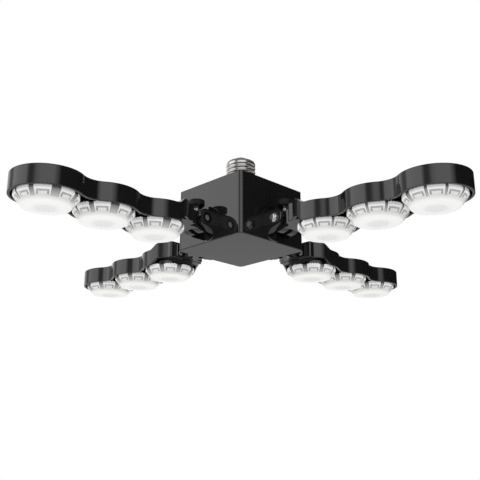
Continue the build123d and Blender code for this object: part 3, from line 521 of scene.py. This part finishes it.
def wall_look(n, place):
    """Frosted, with flutes painted as stripes of shade, greyer towards the crown, and a painted
    glow near the dome.
    """
    x, y, z = n.split(place)
    height = n.between(z, DOME_EDGE * MM, CROWN_FOOT * MM, 0.0, 1.0)
    # Painted shade: stripes darker in the flutes' grooves; the mesh has no flutes
    turn = n.math("MULTIPLY", n.math("ARCTAN2", y, x), PAINTED_FLUTE_STRIPES / 2)
    flute_shade_level = n.between(n.math("ABSOLUTE", n.math("SINE", turn)), 0.0, 1.0, 0.90, 1.0)
    flute_shade = n.make("ShaderNodeCombineColor", {0: flute_shade_level, 1: flute_shade_level, 2: flute_shade_level}).outputs[0]
    color = n.mix(1.0, n.ramp(height, WALL_TONES), flute_shade, blend_type="MULTIPLY")
    # Painted light: emission strongest at the dome's edge, gone by 0.6 of the way up the wall
    glow = n.between(height, 0.0, 0.6, 0.15, 0.0)
    return {"Base Color": color, "Emission Strength": glow}, 0.18, 0.28


def frame_look(n, place):
    """The tabs: pale, with a painted glow that rises towards their tops against the shade of the
    band.
    """
    color = n.mix(n.noise(place, 260.0, detail=4.0), *FRAME_TONES)
    # Painted light: emission rising towards the tabs' tops
    glow = n.between(n.split(place)[2], -4.0 * MM, 0.5 * MM, FRAME_PAINTED_GLOW * 0.2, FRAME_PAINTED_GLOW)
    return {"Base Color": color, "Emission Strength": glow}, 0.12, 0.20


def window_look(n, place):
    """The tabs' windows: grey with painted shade for the recess and the dark collar behind, and a
    little clear.
    """
    color = n.mix(n.noise(place, 260.0, detail=4.0), *WINDOW_SHADE_TONES)
    inputs = {"Base Color": color, "Emission Strength": 0.0, "Transmission Weight": 0.10}
    return inputs, 0.08, 0.16


def gap_look(n, place):
    """Between the tabs: pale at the dome, darker towards the crown's top with painted shade under
    the band, and a little clear.
    """
    height = n.between(n.split(place)[2], DOME_EDGE * MM, CROWN_TOP * MM, 0.0, 1.0)
    color = n.ramp(height, GAP_TONES_AND_SHADE)
    inputs = {"Base Color": color, "Emission Strength": 0.0, "Transmission Weight": 0.05}
    return inputs, 0.08, 0.16


def lens_finish(finish):
    material, n = new_material(f"lens_{finish}")
    place = n.object_place()
    frost = n.noise(place, 700.0, detail=3.0)
    look = {
        "dome": dome_look, "wall": wall_look, "frame": frame_look, "window": window_look,
        "gap": gap_look,
    }[finish]
    inputs, rough_low, rough_high = look(n, place)
    inputs["Emission Color"] = inputs["Base Color"]
    inputs["IOR"] = 1.49
    inputs["Roughness"] = n.vary(frost, rough_low, rough_high)
    inputs["Normal"] = n.bump(frost, 0.04)
    n.surface(inputs)
    return material


def make_lenses():
    """Each detailed lens stands for its node, on the node's own axis."""
    mesh = make_lens_mesh()
    band_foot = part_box("housing_shell")[0].z
    for arm in range(1, 5):
        for where in ("inner", "middle", "outer"):
            node = f"lens_{where}_{arm}"
            low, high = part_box(node)
            piece = bpy.data.objects.new(f"{node}_dome", mesh)
            bpy.context.scene.collection.objects.link(piece)
            piece.location = ((low.x + high.x) / 2, (low.y + high.y) / 2, band_foot)
            piece.rotation_euler = (0, 0, radians(90 * (arm - 1)))
            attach(piece, f"arm_{arm}")
            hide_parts(node)


# Screw shell, in metres: the same crest, root, pitch and sheet as its solid, with a true helix
CREST_R = 13.15 * MM
ROOT_R = 12.30 * MM
PITCH = 3.629 * MM
TURNS = 4
FADE_TURNS = 0.45
SHEET = 0.5 * MM
SHOULDER_R = 10.8 * MM
SHELL_LOW, SHELL_HIGH = (corner.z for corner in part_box("screw_shell"))
THREAD_LOW = 2.8 * MM
THREAD_HIGH = THREAD_LOW + TURNS * PITCH
ROW_BELOW_THREAD = 0.3 * MM
ROUND_STEPS = 128
STEPS_PER_TURN = 20
SHOULDER_STEPS = 12


def thread_radius(z, turn):
    """Outer radius of the thread at this height and share of a turn, fading out at both ends."""
    height = (z - THREAD_LOW) / PITCH
    fade = min(1.0, max(0.0, height / FADE_TURNS), max(0.0, (TURNS - height) / FADE_TURNS))
    wave = (1 - cos(2 * pi * (height - turn))) / 2
    return CREST_R - (CREST_R - ROOT_R) * wave * fade


def shell_rows():
    """(height, radius or None where the thread sets it) up the shell and over its shoulder."""
    rows = [(SHELL_LOW, CREST_R), (THREAD_LOW - ROW_BELOW_THREAD, CREST_R), (THREAD_LOW, CREST_R)]
    steps = TURNS * STEPS_PER_TURN
    rows += [(THREAD_LOW + (THREAD_HIGH - THREAD_LOW) * i / steps, None) for i in range(1, steps)]
    for i in range(SHOULDER_STEPS + 1):
        angle = pi / 2 * i / SHOULDER_STEPS
        z = THREAD_HIGH + (SHELL_HIGH - THREAD_HIGH) * sin(angle)
        rows.append((z, SHOULDER_R + (CREST_R - SHOULDER_R) * cos(angle)))
    return rows


def make_thread_shell():
    rows = shell_rows()
    count = len(rows)
    points, faces = [], []
    for inset in (0.0, SHEET):
        for z, radius in rows:
            for step in range(ROUND_STEPS):
                turn = step / ROUND_STEPS
                r = (thread_radius(z, turn) if radius is None else radius) - inset
                height = min(z, SHELL_HIGH - inset)
                points.append((r * cos(2 * pi * turn), r * sin(2 * pi * turn), height))

    def index(side, row, step):
        return (side * count + row) * ROUND_STEPS + step % ROUND_STEPS

    for here in range(ROUND_STEPS):
        after = here + 1
        for low in range(count - 1):
            high = low + 1
            outer = ((0, low, here), (0, low, after), (0, high, after), (0, high, here))
            inner = ((1, low, here), (1, high, here), (1, high, after), (1, low, after))
            faces += [[index(*corner) for corner in outer], [index(*corner) for corner in inner]]
        for row, flip in ((0, False), (count - 1, True)):
            corners = ((0, row, after), (0, row, here), (1, row, here), (1, row, after))
            rim = [index(*corner) for corner in corners]
            faces.append(rim[::-1] if flip else rim)
    mesh = bpy.data.meshes.new("thread_shell")
    mesh.from_pydata(points, [], faces)
    mesh.shade_smooth()
    shell = bpy.data.objects.new("thread_shell", mesh)
    bpy.context.scene.collection.objects.link(shell)
    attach(shell, "housing")
    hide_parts("screw_shell")
    set_material(shell, bpy.data.materials["nickel"])


def make_world():
    """White to the camera and through clear parts; a studio of pale and dark walls in gloss."""
    world = bpy.data.worlds.new("studio")
    bpy.context.scene.world = world
    world.use_nodes = True
    n = Nodes(world.node_tree)
    ray = n.make("ShaderNodeLightPath")
    x, y, z = n.split(n.make("ShaderNodeTexCoord").outputs["Generated"])
    turn = n.math("ADD", n.math("DIVIDE", n.math("ARCTAN2", y, x), 2 * pi), 0.5)
    walls = n.ramp(turn, [((azimuth + 180) / 360, value) for azimuth, value in STUDIO_WALLS])
    ceiling_share = n.between(z, CEILING_START, CEILING_FULL, 0.0, 1.0)
    floor_share = n.between(z, FLOOR_FULL, FLOOR_START, 1.0, 0.0)
    upper = n.mix(ceiling_share, walls, CEILING_IN_GLOSS)
    reflected = n.mix(floor_share, upper, FLOOR_IN_GLOSS)
    lit = n.mix(ray.outputs["Is Glossy Ray"], SOFT_LIGHT, reflected)
    seen = n.math("MAXIMUM", ray.outputs["Is Camera Ray"], ray.outputs["Is Transmission Ray"])
    background = {"Color": n.mix(seen, lit, WHITE), "Strength": 1.0}
    shader = n.make("ShaderNodeBackground", background)
    n.make("ShaderNodeOutputWorld", {"Surface": shader.outputs[0]})


def make_floor():
    """A pale round floor: glows a little for the camera, keeps the shadow, clear from below."""
    bpy.ops.mesh.primitive_circle_add(vertices=96, radius=FLOOR_R, fill_type="NGON")
    floor = bpy.context.object
    floor.name = "floor"
    floor.location.z = cad_bounds[0][2] - FLOOR_DROP
    material, n = new_material("floor")
    ray = n.make("ShaderNodeLightPath")
    to_camera = ray.outputs["Is Camera Ray"]
    color = n.mix(ray.outputs["Is Glossy Ray"], FLOOR_COLOR, FLOOR_IN_GLOSS)
    shader = n.make("ShaderNodeBsdfPrincipled", {"Base Color": color, "Roughness": 0.8})
    strength = n.math("MULTIPLY", to_camera, FLOOR_GLOW)
    glow = n.make("ShaderNodeEmission", {"Color": WHITE, "Strength": strength})
    both = n.make("ShaderNodeAddShader", {0: shader.outputs[0], 1: glow.outputs[0]})
    below = n.make("ShaderNodeNewGeometry").outputs["Backfacing"]
    hidden = n.math("MULTIPLY", to_camera, below)
    clear = n.make("ShaderNodeBsdfTransparent")
    shares = {0: hidden, 1: both.outputs[0], 2: clear.outputs[0]}
    n.output(n.make("ShaderNodeMixShader", shares))
    set_material(floor, material)


def make_key_lamp():
    data = bpy.data.lights.new("key", "AREA")
    data.shape = "DISK"
    data.size = KEY_SIZE
    data.energy = KEY_POWER
    lamp = bpy.data.objects.new("key", data)
    bpy.context.scene.collection.objects.link(lamp)
    lamp.location = KEY_PLACE
    lamp.rotation_euler = (KEY_TARGET - KEY_PLACE).to_track_quat("-Z", "Y").to_euler()
    lamp.visible_glossy = False


def make_camera():
    data = bpy.data.cameras.new("camera")
    data.lens = CAMERA_LENS
    data.sensor_width = CAMERA_SENSOR
    camera = bpy.data.objects.new("camera", data)
    bpy.context.scene.collection.objects.link(camera)
    camera.location = CAMERA_PLACE
    camera.rotation_euler = CAMERA_VIEW.to_track_quat("-Z", "Y").to_euler()
    bpy.context.scene.camera = camera


dress_nodes()
make_thread_shell()
make_lenses()
make_world()
make_floor()
make_key_lamp()
make_camera()
bpy.context.scene.view_settings.view_transform = "Standard"
